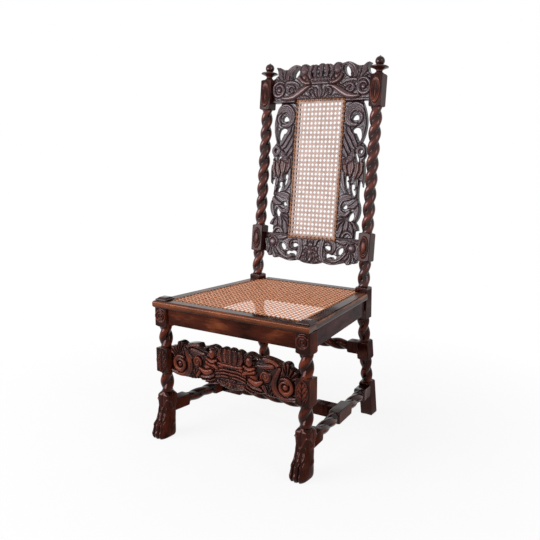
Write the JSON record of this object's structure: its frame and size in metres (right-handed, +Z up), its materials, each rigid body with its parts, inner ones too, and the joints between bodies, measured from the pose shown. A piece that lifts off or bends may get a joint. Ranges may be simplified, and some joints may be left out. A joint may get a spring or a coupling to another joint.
{
  "type": "restoration chair",
  "caption": "Tall-backed carved walnut side chair with barley-twist posts and stretchers, caned back and seat, paw feet and turned finials.",
  "frame": {"origin": "middle of the bounding box, on the floor", "axes": "+Z up, the chair faces -Y, +X is the right-hand side as seen by someone facing its front"},
  "size_m": [0.568, 0.6088, 1.2032],
  "materials": {
    "walnut": "dark polished walnut",
    "peg_oak": "dark end grain, flush",
    "back_cane": "pale split cane",
    "seat_cane": "honey-brown split cane",
    "cane_binding": "darkened binding cane"
  },
  "bodies": {
    "root": {"rear_post_left": "walnut", "rear_post_right": "walnut", "finial_left": "walnut", "finial_right": "walnut", "front_leg_left": "walnut", "front_leg_right": "walnut", "corner_cap_left": "walnut", "corner_cap_right": "walnut", "back_panel_left": "walnut", "back_panel_right": "walnut", "side_stretcher_left": "walnut", "side_stretcher_right": "walnut", "seat_rail_front": "walnut", "seat_rail_back": "walnut", "seat_rail_left": "walnut", "seat_rail_right": "walnut", "apron_front": "walnut", "apron_back": "walnut", "apron_left": "walnut", "apron_right": "walnut", "crest_rail": "walnut", "lower_back_rail": "walnut", "front_stretcher": "walnut", "medial_stretcher": "walnut", "rear_stretcher": "walnut", "back_pegs": "peg_oak", "apron_pegs": "peg_oak", "stretcher_pegs": "peg_oak", "back_cane": "back_cane", "back_cane_binding": "cane_binding", "seat_cane": "seat_cane", "seat_cane_binding": "cane_binding"}
  },
  "joints": []
}
